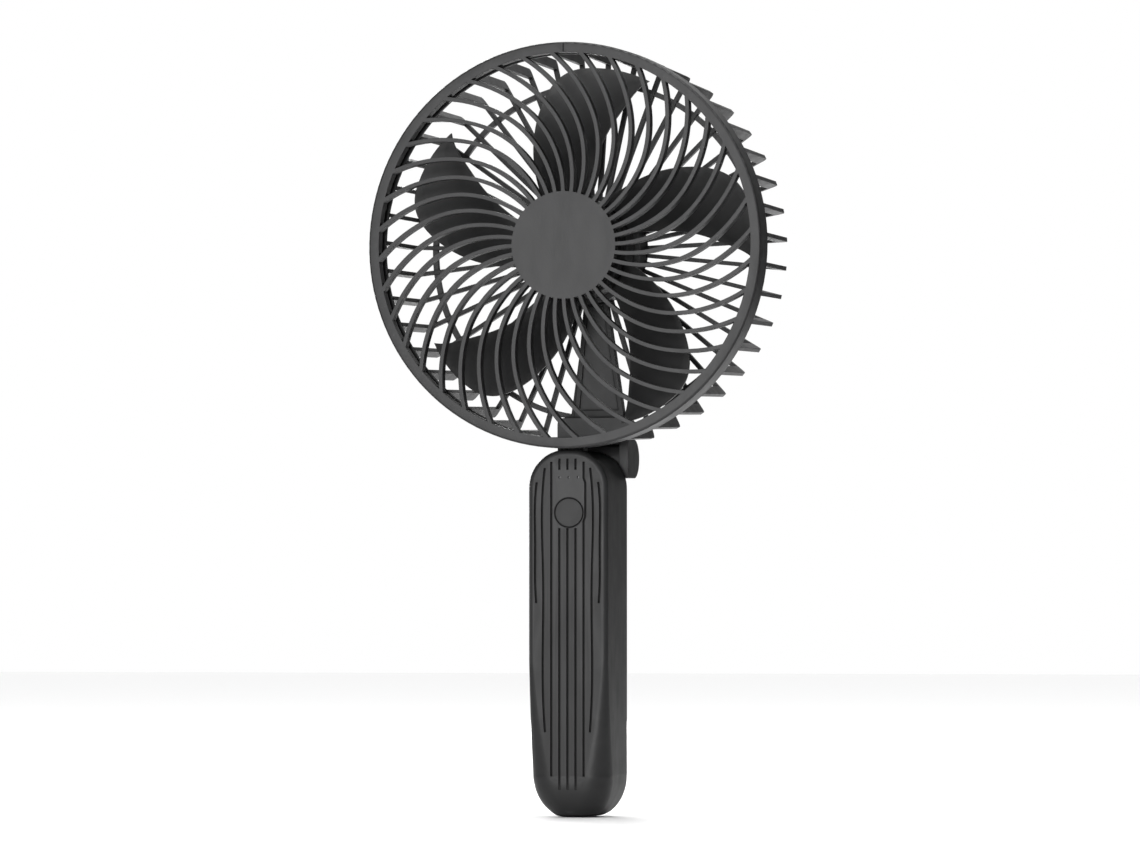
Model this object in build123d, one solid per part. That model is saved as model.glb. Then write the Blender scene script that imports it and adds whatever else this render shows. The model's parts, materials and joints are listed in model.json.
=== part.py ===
from build123d import *
import math
import os

# Folding hand and desk fan: a flat-faced round head on a hinged battery handle.
# Frame: X to the right, Y to the back, Z up, origin in the middle of the handle's foot.

# Handle
handle_width = 31.4
handle_depth = 33.0
handle_top = 140.5
handle_split = 60.0
arch_corner = 14.6
front_edge_round = 2.0
rear_edge_round = 4.2
# The foot rounds in along quarter ellipses of one height
foot_height = 16.0
foot_side_reach = 11.0
foot_front_reach = 6.5
foot_rear_reach = 4.5
# Height and radius of the front corners along the tapering lower half
corner_growth = [(0.0, 10.5), (14.0, 9.0), (30.0, 5.6), (46.0, 3.2), (60.0, 2.0)]
wall = 2.2
cavity_half_width = 12.8
cavity_floor = 10.0
cavity_roof = 133.0
cover_low = 6.0
cover_high = 129.0
cover_front = 10.5

# Face details
groove_pitch = 3.2
groove_width = 0.8
groove_depth = 0.6
groove_jog = 0.7
face_x = 0.55
button_height = 116.4
button_radius = 5.5
button_hole_radius = 5.58
button_chamfer = 0.4
lamp_height = 129.9
lamp_spacing = 3.65
lamp_radius = 0.45

# Electronics inside the handle
cell_radius = 9.2
cell_length = 65.2
cell_low = 21.5
cell_y = 0.3
board_front = -10.4
board_thickness = 1.2
board_half_width = 11.5
board_low = 97.0
board_high = 132.0
board_screw_x = 9.0
board_screw_z = 99.8
cover_screw_points = [(-9.5, 15.0), (9.5, 15.0), (-8.6, 92.2), (8.6, 92.2)]
screw_radius = 1.0
screw_gap = 0.05

# Hinge: a tongue on the head turns between two lugs on the handle
hinge_z = 137.6
fold_gap = 0.3
pin_radius = 1.6
pin_gap = 0.05
tongue_radius = 6.8
tongue_left = -8.9
tongue_right = 12.4
# Inner and outer side of the left and the right lug
lug_sides = [(-9.2, -12.0), (12.7, 16.2)]
pin_left = -11.3
pin_right = 15.5
cap_screw_offset = 4.4
block_left = -14.0
block_right = 15.2
lug_radius = 7.5
lug_front = 12.5
washer_radius = 3.4

# Head
head_z = 218.6
head_front = -22.6
ring_radius = 77.7
ring_bore = 73.7
ring_depth = 9.4
flange_back = 11.0
lip_outer = 74.9
skirt_inner = 76.2
hub_radius = 20.6
grille_depth = 4.0
rib_count = 40
rib_width = 1.5
fin_count = 43
fin_phase = 2.45
fin_thickness = 1.6
cage_depth = 49.5
back_bar_depth = 2.5
hoop_inner = 75.05
hoop_outer = 76.1
fin_taper = 1.3
middle_ring_radius = 65.0
housing_radius = 20.5
housing_front = 34.5
arm_front = 45.5

# Rotor
blade_count = 5
tip_radius = 69.8
rotor_hub_radius = 19.3
rotor_hub_front = 19.5
rotor_hub_back = 32.4
blade_thickness = 1.4
shaft_radius = 1.0
motor_radius = 12.2
motor_front = 35.2
motor_back = 47.4

# The pivot lies midway, so that the folded head lies flat along the handle's back.
hinge_y = (head_front + cage_depth + handle_depth / 2 + fold_gap) / 2
floor_low = 143.2 - head_z

# Depth in the head is measured backwards from its front plane.
head_frame = Plane(origin=(0, head_front, head_z), x_dir=(1, 0, 0), z_dir=(0, -1, 0)).location


def polar(radius, degrees):
    """Point in the head's plane at a radius and an angle from the right."""
    angle = math.radians(degrees)
    return (radius * math.cos(angle), radius * math.sin(angle))


def disc(radius, near, far, x=0.0, y=0.0):
    """Round slab between two depths of the head."""
    return Pos(x, y, -far) * extrude(Circle(radius), far - near)


def hoop(outer, inner, near, far):
    """Flat ring between two depths of the head."""
    return Pos(0, 0, -far) * extrude(Circle(outer) - Circle(inner), far - near)


def slab(x_low, x_high, y_low, y_high, z_low, z_high):
    """Block from its six limits."""
    size = (x_high - x_low, y_high - y_low, z_high - z_low)
    centre = ((x_low + x_high) / 2, (y_low + y_high) / 2, (z_low + z_high) / 2)
    return Pos(*centre) * Box(*size)


def rod(radius, start, stop, x, z):
    """Round bar along Y."""
    bar = Cylinder(radius, stop - start)
    return Pos(x, (start + stop) / 2, z) * Rot(90, 0, 0) * bar


def cross_rod(radius, start, stop, y, z):
    """Round bar along X."""
    bar = Cylinder(radius, stop - start)
    return Pos((start + stop) / 2, y, z) * Rot(0, 90, 0) * bar


def foot_inset(height, reach):
    """How far a rounded edge of the foot has moved in at a height."""
    if height >= foot_height:
        return 0.0
    return reach * (1 - math.sqrt(1 - (1 - height / foot_height) ** 2))


def front_corner(height):
    """Radius of the front corners at a height of the lower half."""
    for (low, first), (high, second) in zip(corner_growth, corner_growth[1:]):
        if height <= high:
            return first + (second - first) * (height - low) / (high - low)
    return corner_growth[-1][1]


def plan_section(height):
    """Handle outline seen from above."""
    width = handle_width - 2 * foot_inset(height, foot_side_reach)
    front = -handle_depth / 2 + foot_inset(height, foot_front_reach)
    rear = handle_depth / 2 - foot_inset(height, foot_rear_reach)
    outline = Rectangle(width, rear - front)
    limit = width / 2 - 0.2
    outline = fillet(outline.vertices().group_by(Axis.Y)[0], min(front_corner(height), limit))
    outline = fillet(outline.vertices().group_by(Axis.Y)[-1], min(rear_edge_round, limit))
    return Pos(0, (front + rear) / 2, height) * outline


def handle_blank():
    """Solid handle: an arched upper half over a lower half whose front corners grow."""
    tall = Rectangle(handle_width, handle_top - handle_split, align=(Align.CENTER, Align.MIN))
    tall = fillet(tall.vertices().group_by(Axis.Y)[-1], arch_corner)
    upper = extrude(Plane.XZ * Pos(0, handle_split) * tall, handle_depth / 2, both=True)
    front_face = upper.faces().sort_by(Axis.Y)[0]
    front_edges = front_face.edges().filter_by(lambda edge: edge.center().Z > handle_split + 1)
    upper = fillet(front_edges, front_edge_round)
    rear_face = upper.faces().sort_by(Axis.Y)[-1]
    rear_edges = rear_face.edges().filter_by(lambda edge: edge.center().Z > handle_split + 1)
    upper = fillet(rear_edges, rear_edge_round)
    rounded = [foot_height * (1 - math.cos(math.radians(step))) for step in range(0, 91, 10)]
    foot = loft([plan_section(height) for height in rounded])
    taper = loft([plan_section(height) for height in (foot_height, 24.0, 33.0, 42.0, 51.0, handle_split)])
    return upper + taper + foot


def handle_cavity():
    """Room inside the handle."""
    outline = Rectangle(2 * cavity_half_width, handle_depth - 2 * wall)
    outline = fillet(outline.vertices().group_by(Axis.Y)[0], 6.0)
    outline = fillet(outline.vertices().group_by(Axis.Y)[-1], 4.0)
    room = extrude(outline, cavity_roof - cavity_floor)
    return Pos(0, 0, cavity_floor) * room


def hinge_lug(inner, outer):
    """Front half of one lug, up to the pivot's plane."""
    low, high = sorted((inner, outer))
    lug = slab(low, high, lug_front, hinge_y, hinge_z - lug_radius, hinge_z + lug_radius)
    top_edge = lug.edges().filter_by(Axis.X).group_by(Axis.Z)[-1].sort_by(Axis.Y)[0]
    return fillet(top_edge, 3.0)


def pin_seat():
    """Room that the hinge pin fills in the two lugs."""
    return cross_rod(pin_radius, pin_left, pin_right, hinge_y, hinge_z)


def cap_screw_heights():
    """Heights of the two screws of each lug."""
    return (hinge_z - cap_screw_offset, hinge_z + cap_screw_offset)


def cover_zone():
    """Part of the blank that belongs to the rear cover."""
    return slab(-20, 20, cover_front, 20, cover_low, cover_high)


def groove(offset, low, high):
    """One straight upright groove of the front face."""
    front = -handle_depth / 2
    return slab(offset - groove_width / 2, offset + groove_width / 2, front - 1, front + groove_depth, low, high)


def traced_groove(path):
    """Upright groove that follows a path on the front face."""
    outline = trace(path, groove_width)
    return Pos(0, groove_depth - handle_depth / 2, 0) * extrude(Plane.XZ * outline, groove_depth + 1)


def face_grooves():
    """Nine upright grooves; one of them steps outwards past the button."""
    near = 2 * groove_pitch
    far = near + groove_jog
    jogged = [(near, 15.6), (near, 113.2), (far, 115.0), (far, 127.8), (near, 129.6), (near, 135.8)]
    cuts = [groove(step * groove_pitch, 10.5, 110.4) for step in (-1, 0, 1)]
    cuts += [groove(step * groove_pitch, 132.8, 137.0) for step in (-1, 0, 1)]
    cuts += [groove(-near, 15.6, 135.8), traced_groove(Polyline(jogged))]
    for side in (-1, 1):
        third = [(side * 8.9, 32.5), (side * 9.6, 44.0), (side * 9.6, 90.0), (side * 9.6, 128.0), (side * 9.0, 133.4)]
        fourth = [(side * 12.4, 81.8), (side * 12.8, 89.0), (side * 12.8, 106.0), (side * 12.8, 122.0), (side * 12.2, 128.0)]
        cuts += [traced_groove(Spline(third)), traced_groove(Spline(fourth))]
    return cuts


def make_handle_body():
    """Front shell with its sides, top, hinge lugs and screw bosses."""
    body = handle_blank() - handle_cavity() - cover_zone()
    body -= cross_rod(tongue_radius + 0.3, lug_sides[0][0], lug_sides[1][0], hinge_y, hinge_z)
    for inner, outer in lug_sides:
        body += hinge_lug(inner, outer)
        for z in cap_screw_heights():
            body -= rod(0.65, hinge_y - 4.8, 40, (inner + outer) / 2, z)
    body -= pin_seat()
    inner_front = -handle_depth / 2 + wall
    for x, z in cover_screw_points:
        body += rod(2.4, inner_front - 0.5, cover_front, x, z)
        body -= rod(screw_radius + screw_gap, 1.5, cover_front + 1, x, z)
    for x in (-board_screw_x, board_screw_x):
        body += rod(2.0, inner_front - 0.5, board_front, x, board_screw_z)
        body -= rod(0.8 + screw_gap, inner_front + 0.6, board_front + 1, x, board_screw_z)
    body -= rod(button_hole_radius, -20, inner_front + 1, face_x, button_height)
    flare = Cone(button_hole_radius, button_hole_radius + button_chamfer, button_chamfer)
    body -= Pos(face_x, (button_chamfer - handle_depth) / 2, button_height) * Rot(90, 0, 0) * flare
    for step in (-1, 0, 1):
        body -= rod(lamp_radius, -20, inner_front + 1, face_x + step * lamp_spacing, lamp_height)
    for x in (-4.8, 4.8):
        body += Pos(x, -9.0, handle_top) * Cylinder(1.1, 2.2)
    return body - face_grooves()


def make_rear_cover():
    """Back panel of the handle with the charging slot and counterbored screw holes."""
    cover = (handle_blank() & cover_zone()) - handle_cavity()
    for x, z in cover_screw_points:
        cover += rod(2.9, cover_front, handle_depth / 2 - 1.5, x, z) & handle_blank()
        cover -= rod(screw_radius + 0.2, 5, 20, x, z)
        cover -= rod(2.05, 13.4, 20, x, z)
    slot = Rectangle(9.3, 3.6)
    slot = fillet(slot.vertices(), 1.7)
    cut = extrude(Plane.XZ * Pos(0, 13.0) * slot, -20)
    return cover - cut


def make_cover_screws():
    """Four screws that hold the rear cover."""
    screws = []
    for x, z in cover_screw_points:
        screw = rod(screw_radius, 2.0, 13.6, x, z) + rod(1.95, 13.4, 14.8, x, z)
        screw -= slab(x - 1.3, x + 1.3, 14.2, 15, z - 0.25, z + 0.25)
        screw -= slab(x - 0.25, x + 0.25, 14.2, 15, z - 1.3, z + 1.3)
        screws.append(screw)
    return Compound(screws)


def make_power_button():
    """Round key with a retaining flange behind the shell's wall."""
    front = -handle_depth / 2
    key = rod(button_radius, front, -13.3, face_x, button_height)
    rim = key.faces().sort_by(Axis.Y)[0].edges()
    key = fillet(rim, 0.35)
    return key + rod(6.6, -14.2, -13.4, face_x, button_height)


def make_switch_body():
    """Tactile switch on the control board."""
    body = slab(face_x - 3, face_x + 3, -12.4, board_front, button_height - 3, button_height + 3)
    return body - rod(1.75, -13, -10.9, face_x, button_height)


def make_switch_plunger():
    """Plunger of the tactile switch."""
    return rod(1.7, -13.3, -11.7, face_x, button_height)


def make_control_board():
    """Control board behind the front face."""
    back = board_front + board_thickness
    board = slab(-board_half_width, board_half_width, board_front, back, board_low, board_high)
    for x in (-board_screw_x, board_screw_x):
        board -= rod(0.9, -12, -8, x, board_screw_z)
    return board


def make_board_chips():
    """Controller and charge chips on the back of the control board."""
    back = board_front + board_thickness
    controller = slab(-3.5, 3.5, back, back + 1.2, 118, 125)
    driver = slab(-6.5, -2.0, back, back + 1.0, 108, 112.5)
    coil = Pos(4.5, back + 1.4, 110) * Rot(90, 0, 0) * Cylinder(2.8, 2.8)
    return Compound([controller, driver, coil])


def make_board_screws():
    """Two screws that hold the control board."""
    back = board_front + board_thickness
    screws = []
    for x in (-board_screw_x, board_screw_x):
        screws.append(rod(0.8, -13.2, back + 0.1, x, board_screw_z) + rod(1.6, back, back + 1.0, x, board_screw_z))
    return Compound(screws)


def make_indicator_lamps():
    """Three small lamps on the control board."""
    lamps = []
    for step in (-1, 0, 1):
        x = face_x + step * lamp_spacing
        lamps.append(slab(x - 0.8, x + 0.8, board_front - 0.7, board_front, lamp_height - 0.5, lamp_height + 0.5))
    return Compound(lamps)


def make_light_guide():
    """Clear bar whose three pins carry the lamps' light through the shell."""
    inner_front = -handle_depth / 2 + wall
    guide = slab(face_x - 5.4, face_x + 5.4, inner_front, inner_front + 1.5, lamp_height - 1.0, lamp_height + 1.0)
    for step in (-1, 0, 1):
        guide += rod(lamp_radius - 0.02, -15.6, inner_front + 0.5, face_x + step * lamp_spacing, lamp_height)
    return guide


def make_battery_cell():
    """Round lithium cell with a crimped shoulder and a raised contact."""
    cell = Pos(0, cell_y, cell_low + cell_length / 2) * Cylinder(cell_radius, cell_length)
    cell = fillet(cell.edges(), 0.6)
    crimp = Pos(0, cell_y, cell_low + cell_length - 2.6) * (Cylinder(cell_radius + 1, 0.9) - Cylinder(cell_radius - 0.5, 0.9))
    contact = Pos(0, cell_y, cell_low + cell_length + 0.4) * Cylinder(3.0, 1.2)
    return cell - crimp + contact


def make_battery_saddles():
    """Two saddles that locate the cell on the front shell's inside."""
    saddles = []
    for low in (32.0, 74.0):
        saddle = slab(-11.5, 11.5, -14.3, -2.0, low, low + 3)
        corner = [edge for edge in saddle.edges().filter_by(Axis.Z) if edge.center().Y < -14]
        saddle = fillet(corner, 5.2)
        saddle -= Pos(0, cell_y, low) * Cylinder(cell_radius + 0.02, 20)
        saddles.append(saddle)
    return Compound(saddles)


def make_battery_tabs():
    """Nickel strips on the cell's two ends."""
    top = cell_low + cell_length + 1.0
    upper = slab(-3.5, 3.5, -9.0, 3.0, top, top + 0.3)
    lower = slab(-3.5, 3.5, -3.0, 8.4, cell_low - 0.3, cell_low)
    return Compound([upper, lower])


def make_battery_leads():
    """Short leads from the cell's strips to the two boards."""
    top = cell_low + cell_length + 1.3
    upper = Pos(2.4, -8.3, (top + 101) / 2) * Cylinder(0.6, 101 - top)
    low_top = cell_low - 0.3
    lower = Pos(-2.4, 7.4, (11.2 + low_top) / 2) * Cylinder(0.6, low_top - 11.2)
    return Compound([upper, lower])


def make_charge_board():
    """Small board under the charging socket."""
    return slab(-6.4, 6.4, 4.0, 14.0, cavity_floor, cavity_floor + 1.2)


def make_charge_socket():
    """Charging socket: an oval metal shell with a contact tongue."""
    outer = Rectangle(8.9, 3.2)
    outer = fillet(outer.vertices(), 1.5)
    inner = Rectangle(8.3, 2.6)
    inner = fillet(inner.vertices(), 1.25)
    shell = Pos(0, 9.0, 13.0) * Rot(90, 0, 0) * extrude(outer, -7.3)
    shell -= Pos(0, 10.2, 13.0) * Rot(90, 0, 0) * extrude(inner, -8)
    tongue = slab(-3.3, 3.3, 9.5, 14.8, 12.65, 13.35)
    feet = slab(-3.5, 3.5, 9.4, 13.6, cavity_floor + 1.2, 11.6)
    return shell + tongue + feet


def make_hinge_caps():
    """Round rear halves of the lugs, which clamp the pin."""
    caps = []
    for inner, outer in lug_sides:
        low, high = sorted((inner, outer))
        cap = cross_rod(lug_radius, low, high, hinge_y, hinge_z)
        cap -= slab(low - 1, high + 1, 0, hinge_y + 0.05, hinge_z - 20, hinge_z + 20)
        cap -= pin_seat()
        for z in cap_screw_heights():
            cap -= rod(0.65, 0, 40, (low + high) / 2, z)
            cap -= rod(1.15, hinge_y + 4.0, 40, (low + high) / 2, z)
        caps.append(cap)
    return Compound(caps)


def make_cap_screws():
    """Screws that hold the lugs' rear halves, two in each."""
    screws = []
    for inner, outer in lug_sides:
        x = (inner + outer) / 2
        for z in cap_screw_heights():
            screws.append(rod(0.6, hinge_y - 4.5, hinge_y + 4.6, x, z) + rod(1.1, hinge_y + 4.0, hinge_y + 4.8, x, z))
    return Compound(screws)


def make_hinge_washers():
    """Friction washers between the lugs and the tongue."""
    washers = []
    for start, stop in ((lug_sides[0][0], tongue_left - 0.05), (tongue_right + 0.05, lug_sides[1][0])):
        washer = cross_rod(washer_radius, start, stop, hinge_y, hinge_z)
        washers.append(washer - cross_rod(pin_radius, -20, 20, hinge_y, hinge_z))
    return Compound(washers)


def make_hinge_pin():
    """Pin held by the lugs; the tongue turns on it."""
    return pin_seat()


def front_rib():
    """One curved rib, nearly radial at the hub and well swept at the ring."""
    stations = [(19.6, 0.4), (30.8, 2.9), (46.2, 10.5), (60.0, 20.1), (74.1, 31.0)]
    path = Spline([polar(radius, degrees) for radius, degrees in stations])
    return Pos(0, 0, -grille_depth) * extrude(trace(path, rib_width), grille_depth)


def make_front_grille():
    """Flat front grille: bezel ring, hub disc and swept ribs in one moulding."""
    bezel = hoop(ring_radius, ring_bore, 0, 2.0)
    bezel = fillet(bezel.edges().group_by(Axis.Z)[-1].sort_by(SortBy.RADIUS)[-1], 0.8)
    bezel += hoop(ring_radius, skirt_inner, 1.5, ring_depth)
    bezel += hoop(lip_outer, ring_bore, 1.5, 4.5)
    bezel -= slab(-0.12, 0.12, ring_bore + 0.3, ring_radius + 1, -0.25, 1)
    hub = disc(hub_radius, 0, grille_depth) - disc(hub_radius - 2.0, 2.0, grille_depth)
    ribs = [Rot(0, 0, step * 360 / rib_count) * front_rib() for step in range(rib_count)]
    return head_frame * bezel.fuse(hub, *ribs)


def fin_outline():
    """Side view of one fin: a tall plate along the side and a bar across the back."""
    outline = Polyline(
        (ring_radius, -flange_back),
        (ring_radius - fin_taper, -cage_depth),
        (housing_radius - 0.8, -cage_depth),
        (housing_radius - 0.8, -cage_depth + back_bar_depth),
        (ring_radius - 5.2, -cage_depth + back_bar_depth),
        (ring_radius - 4.1, -flange_back),
        close=True,
    )
    plate = make_face(outline)
    corner = plate.vertices().sort_by_distance((ring_radius - fin_taper, -cage_depth, 0))[0]
    return fillet(corner, 2.0)


def fins_between(near, far, steps):
    """The fins' stretch between two depths of the head."""
    plate = extrude(Plane.XZ * fin_outline(), fin_thickness / 2, both=True)
    plate = plate & slab(0, 100, -5, 5, -far, -near)
    return [Rot(0, 0, fin_phase + step * 360 / fin_count) * plate for step in steps]


def side_steps():
    """Numbers of the fins that the yoke doesn't replace at the bottom."""
    steps = []
    for step in range(fin_count):
        x, y = polar(ring_radius, fin_phase + step * 360 / fin_count)
        if y > 0 or not block_left - 0.5 < x < tongue_right + 1.5:
            steps.append(step)
    return steps


def motor_housing():
    """Round cup in the middle of the cage's back."""
    cup = disc(housing_radius, housing_front, cage_depth)
    cup += disc(housing_radius + 0.7, housing_front, housing_front + 1.6)
    cup -= disc(housing_radius - 1.8, housing_front - 1, motor_back)
    cup -= disc(17.2, cage_depth - 1.2, cage_depth + 1)
    for x in (-7.0, 7.0):
        cup -= disc(1.1, motor_back - 1, cage_depth, x)
    return cup


def arm_outline(inset, low, high):
    """Outline of the arm, which leans towards the hinge, moved in from its sides."""
    lean = 0.0327
    spread = 0.118
    half_low = 2.25 - spread * low - inset
    half_high = 2.25 - spread * high - inset
    middle_low = -0.32 - lean * low
    middle_high = -0.32 - lean * high
    corners = [
        (middle_high - half_high, high),
        (middle_high + half_high, high),
        (middle_low + half_low, low),
        (middle_low - half_low, low),
    ]
    return make_face(Polyline(*corners, close=True))


def cage_arm():
    """Tapered arm from the housing down to the yoke."""
    return Pos(0, 0, -cage_depth) * extrude(arm_outline(0, -68, -19), cage_depth - arm_front)


def hinge_yoke():
    """Floor plate, rear block and the hinge tongue."""
    depth = hinge_y - head_front
    lug_top = hinge_z + lug_radius + 0.5 - head_z
    block_top = 153.6 - head_z
    block = slab(block_left, block_right, lug_top, block_top, -cage_depth, -42.0)
    block = fillet(block.edges().filter_by(Axis.Z).group_by(Axis.Y)[-1], 2.5)
    block += slab(tongue_left, tongue_right, floor_low, floor_low + 2.2, -cage_depth, -flange_back)
    block += slab(tongue_left, tongue_right, hinge_z - head_z, lug_top + 0.5, -cage_depth, -depth + 2.0)
    tongue = Pos((tongue_left + tongue_right) / 2, 0, 0) * Rot(0, 90, 0) * Cylinder(tongue_radius, tongue_right - tongue_left)
    return block + Pos(0, hinge_z - head_z, -depth) * tongue


def make_cage_hoop():
    """Hoop that seats in the front ring, with the flange that carries the fins."""
    rim = hoop(hoop_outer, hoop_inner, 2.1, flange_back)
    rim += hoop(ring_radius, ring_bore, ring_depth + 0.1, flange_back)
    return head_frame * rim


def make_side_fins():
    """Side stretches of the fins, between the hoop and the back."""
    fins = fins_between(flange_back, cage_depth - back_bar_depth, side_steps())
    floor = slab(-20, 20, -80, floor_low + 2.2, -cage_depth - 1, 0)
    return head_frame * Compound([fin - floor for fin in fins])


def make_cage_back():
    """Back of the cage: bars, middle ring, motor housing, arm, yoke and tongue."""
    fins = fins_between(cage_depth - back_bar_depth, cage_depth, range(fin_count))
    back = hoop(middle_ring_radius + 1, middle_ring_radius - 1, cage_depth - 2.3, cage_depth)
    back = back.fuse(motor_housing(), *fins)
    back = back - slab(-20, 20, -80, floor_low, -cage_depth - 1, 0)
    for low, high in ((-18, tongue_left), (tongue_right, 18)):
        back = back - slab(low, high, -80, hinge_z + lug_radius + 0.5 - head_z, -cage_depth - 1, 0)
    back = back + hinge_yoke() + cage_arm()
    back -= Pos(0, 0, -arm_front - 3.0) * extrude(arm_outline(1.7, -62, -21.5), 4)
    back = head_frame * back
    return back - cross_rod(pin_radius + pin_gap, -20, 20, hinge_y, hinge_z)


def make_arm_cover():
    """Plate that closes the arm's wiring channel."""
    plate = Pos(0, 0, -arm_front - 1.5) * extrude(arm_outline(1.8, -61.9, -21.6), 1.1)
    return head_frame * plate


def make_motor_leads():
    """Two leads in the arm's channel."""
    leads = []
    for x in (-1.0, 1.0):
        leads.append(Pos(x, -41.5, -arm_front - 2.3) * Rot(90, 0, 0) * Cylinder(0.55, 38))
    return head_frame * Compound(leads)


def make_rear_hub_cap():
    """Cap over the motor screws at the back."""
    cap = disc(17.0, cage_depth - 1.2, cage_depth)
    cap = fillet(cap.edges().group_by(Axis.Z)[0], 0.5)
    return head_frame * cap


def make_motor_case():
    """Steel can of the motor."""
    can = disc(motor_radius, motor_front, motor_back)
    can = fillet(can.edges().group_by(Axis.Z)[-1], 1.0)
    can -= disc(motor_radius - 0.8, motor_front + 1.0, motor_back + 1)
    return head_frame * (can - disc(3.0, motor_front - 1, motor_front + 3))


def make_motor_end_cap():
    """Plastic end of the motor."""
    end = disc(motor_radius - 0.8, motor_back - 2.0, motor_back)
    end -= disc(3.0, motor_back - 3, motor_back + 1)
    for x in (-7.0, 7.0):
        end -= disc(1.0, motor_back - 3, motor_back + 1, x)
    return head_frame * end


def make_motor_magnets():
    """Two curved magnets in the can."""
    ring = hoop(motor_radius - 0.8, 9.6, motor_front + 2.2, motor_front + 9.4)
    gap = Pos(0, 0, -motor_front - 6) * Box(5.0, 40, 10)
    return head_frame * Compound((ring - gap).solids())


def make_shaft_bushes():
    """Front and rear bearing bushes."""
    bore = disc(shaft_radius + 0.04, 30, 50)
    front = disc(3.0, motor_front - 0.8, motor_front + 1.6) - bore
    rear = disc(3.0, motor_back - 2.0, motor_back) - bore
    return head_frame * Compound([front, rear])


def make_motor_screws():
    """Screws from the housing's back into the motor."""
    screws = []
    for x in (-7.0, 7.0):
        screws.append(disc(0.95, motor_back - 1.8, motor_back + 0.9, x))
    return head_frame * Compound(screws)


def make_motor_damper():
    """Soft ring that centres the motor in its housing."""
    return head_frame * hoop(housing_radius - 1.8, motor_radius, motor_front + 3.8, motor_front + 8.8)


def blade_outline():
    """One sickle blade seen from the front."""
    leading = [(18.4, 57.5), (29.0, 50.5), (40.0, 43.5), (56.0, 32.7), (65.0, 25.0), (69.0, 16.5)]
    trailing = [(69.4, -4.8), (66.5, -3.0), (56.0, 1.3), (48.0, 5.0), (36.0, 10.0), (27.0, 13.5), (18.4, 18.0)]
    lead = Spline([polar(radius, degrees) for radius, degrees in leading])
    tip = ThreePointArc(polar(69.0, 16.5), polar(tip_radius, 6.0), polar(69.4, -4.8))
    trail = Spline([polar(radius, degrees) for radius, degrees in trailing])
    root = ThreePointArc(polar(18.4, 18.0), polar(18.4, 37.0), polar(18.4, 57.5))
    return make_face(lead + tip + trail + root)


def blade_slab():
    """Twisted slab that gives the blade its pitch: radius, angle, pitch and depth of each station."""
    stations = [(14.0, 37.0, 36.0, 25.8), (30.0, 31.0, 29.0, 25.3), (52.0, 19.0, 17.0, 24.0), (76.0, 4.0, 13.0, 24.0)]
    sections = []
    for radius, degrees, pitch, depth in stations:
        x, y = polar(radius, degrees)
        turn = math.radians(degrees)
        place = Plane(
            origin=(x, y, -depth),
            x_dir=(-math.sin(turn), math.cos(turn), 0),
            z_dir=(math.cos(turn), math.sin(turn), 0),
        )
        sections.append(place * Rot(0, 0, pitch) * Rectangle(64, blade_thickness))
    return loft(sections)


def make_impeller():
    """Cupped hub with five twisted blades."""
    hub = disc(rotor_hub_radius, rotor_hub_front, rotor_hub_back)
    hub = fillet(hub.edges().group_by(Axis.Z)[-1], 2.0)
    hub -= disc(rotor_hub_radius - 1.6, rotor_hub_front + 1.8, rotor_hub_back + 1)
    hub += disc(3.6, rotor_hub_front + 1.0, rotor_hub_back - 1)
    prism = Pos(0, 0, -50) * extrude(blade_outline(), 60)
    blade = prism & blade_slab()
    blades = [Rot(0, 0, step * 360 / blade_count) * blade for step in range(blade_count)]
    wheel = hub.fuse(*blades)
    return head_frame * (wheel - disc(shaft_radius, 10, 60))


def make_motor_shaft():
    """Shaft that carries the armature and the impeller."""
    return head_frame * disc(shaft_radius, rotor_hub_front - 1.2, motor_back - 0.1)


def make_armature():
    """Wound core on the shaft."""
    core = disc(8.8, motor_front + 2.8, motor_front + 9.2) - disc(shaft_radius, 30, 50)
    for step in range(3):
        notch = Rot(0, 0, 60 + step * 120) * Pos(7.4, 0, -motor_front - 6) * Box(4.0, 2.0, 12)
        core -= notch
    return head_frame * core


def make_impeller_cap():
    """Push-on cap over the shaft's front end."""
    cap = disc(3.2, rotor_hub_front - 2.0, rotor_hub_front)
    cap = fillet(cap.edges().group_by(Axis.Z)[-1], 0.8)
    return head_frame * (cap - disc(shaft_radius, rotor_hub_front - 1.2, rotor_hub_front + 1))


makers = {
    "handle_body": make_handle_body,
    "rear_cover": make_rear_cover,
    "cover_screws": make_cover_screws,
    "power_button": make_power_button,
    "switch_body": make_switch_body,
    "switch_plunger": make_switch_plunger,
    "control_board": make_control_board,
    "board_chips": make_board_chips,
    "board_screws": make_board_screws,
    "indicator_lamps": make_indicator_lamps,
    "light_guide": make_light_guide,
    "battery_cell": make_battery_cell,
    "battery_saddles": make_battery_saddles,
    "battery_tabs": make_battery_tabs,
    "battery_leads": make_battery_leads,
    "charge_board": make_charge_board,
    "charge_socket": make_charge_socket,
    "hinge_washers": make_hinge_washers,
    "hinge_pin": make_hinge_pin,
    "hinge_caps": make_hinge_caps,
    "cap_screws": make_cap_screws,
    "front_grille": make_front_grille,
    "cage_hoop": make_cage_hoop,
    "side_fins": make_side_fins,
    "cage_back": make_cage_back,
    "arm_cover": make_arm_cover,
    "motor_leads": make_motor_leads,
    "rear_hub_cap": make_rear_hub_cap,
    "motor_case": make_motor_case,
    "motor_end_cap": make_motor_end_cap,
    "motor_magnets": make_motor_magnets,
    "shaft_bushes": make_shaft_bushes,
    "motor_screws": make_motor_screws,
    "motor_damper": make_motor_damper,
    "impeller": make_impeller,
    "motor_shaft": make_motor_shaft,
    "armature": make_armature,
    "impeller_cap": make_impeller_cap,
}

os.makedirs("parts", exist_ok=True)
for name, maker in makers.items():
    export_step(maker(), "parts/" + name + ".step")
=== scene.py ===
import json
import math

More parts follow.
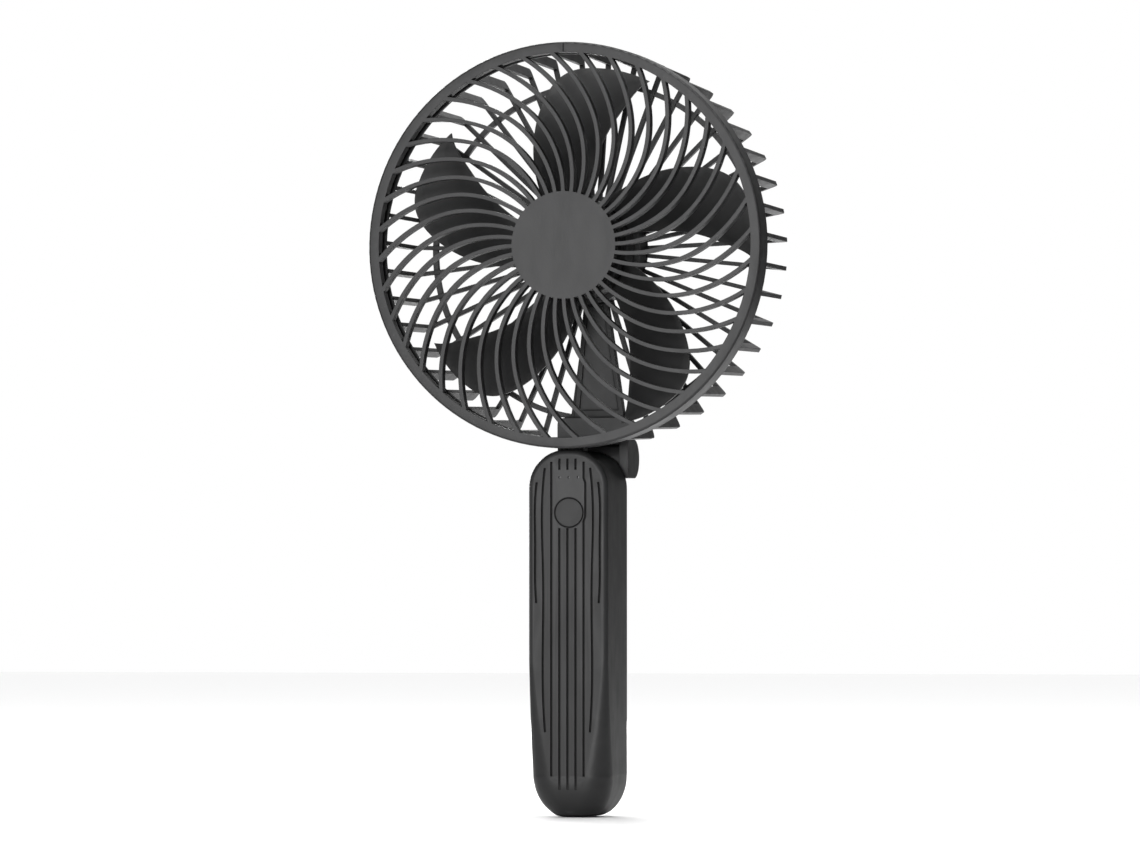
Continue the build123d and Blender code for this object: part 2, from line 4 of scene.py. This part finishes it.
import bmesh
import bpy
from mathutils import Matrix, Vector

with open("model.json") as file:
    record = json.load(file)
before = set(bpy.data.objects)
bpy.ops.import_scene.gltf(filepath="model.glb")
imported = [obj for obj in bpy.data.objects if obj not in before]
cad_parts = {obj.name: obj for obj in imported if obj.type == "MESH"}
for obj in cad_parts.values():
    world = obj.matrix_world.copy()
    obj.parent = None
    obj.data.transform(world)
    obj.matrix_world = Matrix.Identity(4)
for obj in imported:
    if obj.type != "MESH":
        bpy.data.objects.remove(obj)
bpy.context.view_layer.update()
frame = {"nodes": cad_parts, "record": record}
nodes = frame["nodes"]
scene = bpy.context.scene

# The middle part of a noise's range, which most of the ramps stretch
noise_low = 0.3
noise_high = 0.7
# How much darker and lighter than its colour a moulded plastic's blotches are
blotch_depth = 0.07
# Height of the finest surface relief, in metres
fine_relief = 0.00002
crease_roughness = 1.0
bevel_samples = 4
# Samples for the painted shade in creases
painted_crease_shade_samples = 6
# Camera sensor in millimetres, and the picture's width in picture points
sensor_width = 36.0
picture_width = 1140.0


# ---------------------------------------------------------------- materials

def new_material(name, colour, roughness, metallic=0.0, specular=0.5):
    mat = bpy.data.materials.new(name)
    mat.use_nodes = True
    shader = mat.node_tree.nodes["Principled BSDF"]
    shader.inputs["Base Color"].default_value = (*colour, 1)
    shader.inputs["Roughness"].default_value = roughness
    shader.inputs["Metallic"].default_value = metallic
    shader.inputs["Specular IOR Level"].default_value = specular
    return mat, mat.node_tree, shader


def object_noise(tree, scale, detail=3.0, roughness=0.6, stretch=(1, 1, 1)):
    coords = tree.nodes.new("ShaderNodeTexCoord")
    mapping = tree.nodes.new("ShaderNodeMapping")
    mapping.inputs["Scale"].default_value = stretch
    tree.links.new(coords.outputs["Object"], mapping.inputs["Vector"])
    noise = tree.nodes.new("ShaderNodeTexNoise")
    noise.inputs["Scale"].default_value = scale
    noise.inputs["Detail"].default_value = detail
    noise.inputs["Roughness"].default_value = roughness
    tree.links.new(mapping.outputs["Vector"], noise.inputs["Vector"])
    return noise.outputs["Fac"]


def ramp(tree, value, low, high, to_low, to_high):
    node = tree.nodes.new("ShaderNodeMapRange")
    node.inputs["From Min"].default_value = low
    node.inputs["From Max"].default_value = high
    node.inputs["To Min"].default_value = to_low
    node.inputs["To Max"].default_value = to_high
    tree.links.new(value, node.inputs["Value"])
    return node.outputs["Result"]


def mixed_colour(tree, factor, first, second):
    node = tree.nodes.new("ShaderNodeMix")
    node.data_type = "RGBA"
    tree.links.new(factor, node.inputs["Factor"])
    node.inputs["A"].default_value = (*first, 1)
    node.inputs["B"].default_value = (*second, 1)
    return node.outputs["Result"]


def add_bump(tree, shader, height, distance, strength=1.0, soft_edge=0.0):
    bump = tree.nodes.new("ShaderNodeBump")
    bump.inputs["Strength"].default_value = strength
    bump.inputs["Distance"].default_value = distance
    tree.links.new(height, bump.inputs["Height"])
    if soft_edge:
        edge = tree.nodes.new("ShaderNodeBevel")
        edge.samples = bevel_samples
        edge.inputs["Radius"].default_value = soft_edge
        tree.links.new(edge.outputs["Normal"], bump.inputs["Normal"])
    tree.links.new(bump.outputs["Normal"], shader.inputs["Normal"])


def edge_wear(tree, low=0.505, high=0.56):
    geometry = tree.nodes.new("ShaderNodeNewGeometry")
    return ramp(tree, geometry.outputs["Pointiness"], low, high, to_low=0.0, to_high=1.0)


def painted_crease_shade(tree, colour_output, reach=0.0012):
    """Paint shade into narrow grooves and inner corners: the colour is darkened where ambient occlusion
    finds close surfaces. The level is 0 in a crease and 1 in the open.
    """
    hollow = tree.nodes.new("ShaderNodeAmbientOcclusion")
    hollow.samples = painted_crease_shade_samples
    hollow.inputs["Distance"].default_value = reach
    level = ramp(tree, hollow.outputs["AO"], low=0.45, high=0.95, to_low=0.0, to_high=1.0)
    # painted shade: the colour is multiplied by the level, so grooves and inner corners are darker
    node = tree.nodes.new("ShaderNodeMix")
    node.data_type = "RGBA"
    node.blend_type = "MULTIPLY"
    node.inputs["Factor"].default_value = 1.0
    tree.links.new(colour_output, node.inputs["A"])
    tree.links.new(level, node.inputs["B"])
    return node.outputs["Result"], level


def moulded_plastic(name, colour, rub_colour, roughness, grain=0.00004, specular=0.2, soft_edge=0.0003):
    """Spark-textured moulding: fine grain, uneven colour and sheen, rubbed edges, painted shade and more
    roughness in creases.
    """
    mat, tree, shader = new_material(name, colour, roughness, specular=specular)
    blotch = object_noise(tree, scale=38.0, detail=4.0)
    fine = object_noise(tree, scale=2600.0, detail=2.0)
    flow = object_noise(tree, scale=160.0, detail=3.0, stretch=(1, 1, 0.35))
    darker = [channel * (1 - blotch_depth) for channel in colour]
    lighter = [channel * (1 + blotch_depth) for channel in colour]
    shade = mixed_colour(tree, ramp(tree, blotch, noise_low, noise_high, 0, 1), darker, lighter)
    mix = tree.nodes.new("ShaderNodeMix")
    mix.data_type = "RGBA"
    tree.links.new(edge_wear(tree), mix.inputs["Factor"])
    tree.links.new(shade, mix.inputs["A"])
    mix.inputs["B"].default_value = (*rub_colour, 1)
    # painted shade: the colour is darkened in grooves and inner corners, where shade falls
    colour_with_painted_shade, level = painted_crease_shade(tree, mix.outputs["Result"])
    tree.links.new(colour_with_painted_shade, shader.inputs["Base Color"])
    sheen = ramp(tree, flow, noise_low, noise_high, to_low=roughness - 0.04, to_high=roughness + 0.05)
    dull = tree.nodes.new("ShaderNodeMix")
    tree.links.new(level, dull.inputs["Factor"])
    dull.inputs["A"].default_value = crease_roughness
    tree.links.new(sheen, dull.inputs["B"])
    tree.links.new(dull.outputs["Result"], shader.inputs["Roughness"])
    add_bump(tree, shader, fine, grain, strength=0.5, soft_edge=soft_edge)
    return mat


def drawn_metal(name, colour, roughness, stretch=(1, 1, 12)):
    """Metal with fine draw lines and slightly uneven sheen."""
    mat, tree, shader = new_material(name, colour, roughness, metallic=1.0)
    lines = object_noise(tree, scale=900.0, detail=2.0, stretch=stretch)
    blotch = object_noise(tree, scale=60.0, detail=4.0)
    uneven = ramp(tree, blotch, noise_low, noise_high, to_low=roughness - 0.07, to_high=roughness + 0.1)
    tree.links.new(uneven, shader.inputs["Roughness"])
    add_bump(tree, shader, lines, fine_relief, strength=0.4)
    return mat


def speckled(name, colour, other, roughness, scale=300.0, metallic=0.0):
    """Smooth plastic, laminate, rubber, magnet or iron with a faint mottle."""
    mat, tree, shader = new_material(name, colour, roughness, metallic=metallic)
    mottle = object_noise(tree, scale, detail=4.0)
    spots = mixed_colour(tree, ramp(tree, mottle, low=0.4, high=0.6, to_low=0, to_high=1), colour, other)
    tree.links.new(spots, shader.inputs["Base Color"])
    add_bump(tree, shader, mottle, fine_relief, strength=0.3)
    return mat


near_black = (0.0125, 0.0125, 0.0128)
rubbed_black = (0.026, 0.026, 0.0265)
rubbed_blade = (0.022, 0.022, 0.022)
materials = {
    "shell_plastic": moulded_plastic("shell", near_black, rubbed_black, roughness=0.46),
    "blade_plastic": moulded_plastic("blade", near_black, rubbed_blade, roughness=0.42, grain=fine_relief),
    "key_plastic": moulded_plastic("key", near_black, rubbed_black, roughness=0.46),
    "clear_plastic": speckled("clear", (0.02, 0.02, 0.022), (0.03, 0.03, 0.032), roughness=0.3),
    "screw_steel": drawn_metal("screw", (0.16, 0.16, 0.17), roughness=0.4),
    "pin_steel": drawn_metal("pin", (0.5, 0.5, 0.52), roughness=0.3, stretch=(12, 1, 1)),
    "motor_steel": drawn_metal("can", (0.42, 0.42, 0.42), roughness=0.35, stretch=(1, 12, 1)),
    "core_iron": speckled(
        "core", (0.12, 0.07, 0.04), (0.08, 0.05, 0.03), roughness=0.4, scale=500, metallic=0.4
    ),
    "magnet": speckled("magnet", (0.05, 0.05, 0.055), (0.07, 0.07, 0.075), roughness=0.6),
    "bush_brass": drawn_metal("bush", (0.6, 0.42, 0.18), roughness=0.35),
    "white_nylon": speckled("nylon", (0.6, 0.6, 0.57), (0.56, 0.56, 0.52), roughness=0.5),
    "soft_rubber": speckled("rubber", (0.02, 0.02, 0.02), (0.03, 0.03, 0.03), roughness=0.85, scale=800),
    "board_laminate": speckled(
        "laminate", (0.01, 0.07, 0.03), (0.015, 0.09, 0.04), roughness=0.35, scale=700
    ),
    "chip_plastic": speckled("chip", (0.015, 0.015, 0.015), (0.025, 0.025, 0.025), roughness=0.6, scale=900),
    "plunger_plastic": speckled("plunger", (0.03, 0.025, 0.02), (0.04, 0.035, 0.03), roughness=0.5),
    "lamp_resin": speckled("resin", (0.6, 0.6, 0.5), (0.55, 0.56, 0.45), roughness=0.15),
    "cell_wrap": speckled("wrap", (0.02, 0.09, 0.25), (0.018, 0.08, 0.22), roughness=0.3, scale=200),
    "saddle_plastic": moulded_plastic("saddle", (0.03, 0.03, 0.032), (0.05, 0.05, 0.05), roughness=0.6),
    "nickel": drawn_metal("nickel", (0.55, 0.53, 0.47), roughness=0.35),
    "lead_jacket": speckled("jacket", (0.25, 0.015, 0.012), (0.22, 0.012, 0.01), roughness=0.45),
}
slot_of = {part["node"]: part["material_slot"] for part in frame["record"]["subparts"]}
for name, node in nodes.items():
    mat = materials[slot_of[name]]
    if not node.material_slots:
        node.data.materials.append(mat)
    for place in node.material_slots:
        place.material = mat


# ---------------------------------------------------------------- floor and light

paper_white = (0.93, 0.93, 0.93)
card_black = (0.01, 0.01, 0.01)


def flat_sheet(name, corners, colour, roughness, unevenness=0.04):
    """Flat studio piece: the floor, or a dark card beside the set."""
    mesh = bpy.data.meshes.new(name)
    sheet = bmesh.new()
    sheet.faces.new([sheet.verts.new(corner) for corner in corners])
    sheet.to_mesh(mesh)
    sheet.free()
    piece = bpy.data.objects.new(name, mesh)
    scene.collection.objects.link(piece)
    mat, tree, shader = new_material(name, colour, roughness, specular=0.1)
    patches = object_noise(tree, scale=6.0)
    spread = ramp(tree, patches, noise_low, noise_high, roughness - unevenness, roughness + unevenness)
    tree.links.new(spread, shader.inputs["Roughness"])
    mesh.materials.append(mat)
    return piece


def make_floor(size=6.0, level=-0.0002):
    corners = [(-size, -size, level), (size, -size, level), (size, size, level), (-size, size, level)]
    flat_sheet("floor", corners, paper_white, roughness=0.8)


def make_dark_cards(foot=0.02, tall=0.8):
    """Dark cards beside the set shade the object's sides. The camera doesn't see them."""
    runs = {
        "card_right": ((0.95, -1.6), (0.6, 0.45)),
        "card_back_right": ((0.6, 0.45), (0.14, 0.95)),
        "card_left": ((-0.7, -0.6), (-0.78, 0.6)),
        "card_back_left": ((-0.78, 0.6), (-0.86, 1.2)),
    }
    for name, (start, stop) in runs.items():
        corners = [(*start, foot), (*stop, foot), (*stop, tall), (*start, tall)]
        flat_sheet(name, corners, card_black, roughness=0.9).visible_camera = False


def area_light(name, place, target, size, power):
    data = bpy.data.lights.new(name, "AREA")
    data.shape = "RECTANGLE"
    data.size, data.size_y = size
    data.energy = power
    lamp = bpy.data.objects.new(name, data)
    lamp.location = place
    lamp.rotation_euler = (Vector(target) - Vector(place)).to_track_quat("-Z", "Y").to_euler()
    scene.collection.objects.link(lamp)


make_floor()
make_dark_cards()
world = bpy.data.worlds.new("studio")
world.use_nodes = True
backdrop = world.node_tree.nodes["Background"]
backdrop.inputs["Color"].default_value = (1, 1, 1, 1)
backdrop.inputs["Strength"].default_value = 1.0
scene.world = world
scene.view_settings.view_transform = "Standard"
area_light("key", place=(0.0, -2.4, 0.2), target=(0, 0, 0.1), size=(0.7, 0.7), power=58)
area_light("back", place=(-1.0, 2.0, 0.6), target=(0, 0, 0.15), size=(0.9, 0.9), power=40)
area_light("top", place=(0.0, 0.3, 2.2), target=(0, 0, 0), size=(1.6, 1.0), power=30)


# ---------------------------------------------------------------- camera

def make_camera(azimuth=15.5, elevation=-1.5, distance=2.7, scale=2599.0, aside=-0.00343, height=0.14935):
    """Long lens: scale is picture points per metre at the object."""
    turn, lift = math.radians(azimuth), math.radians(elevation)
    right = Vector((math.cos(turn), math.sin(turn), 0))
    back = Vector((math.sin(turn) * math.cos(lift), -math.cos(turn) * math.cos(lift), math.sin(lift)))
    target = right * aside + Vector((0, 0, height))
    data = bpy.data.cameras.new("camera")
    data.sensor_width = sensor_width
    data.lens = sensor_width * scale * distance / picture_width
    camera = bpy.data.objects.new("camera", data)
    camera.location = target + back * distance
    camera.rotation_euler = (-back).to_track_quat("-Z", "Y").to_euler()
    scene.collection.objects.link(camera)
    scene.camera = camera


make_camera()
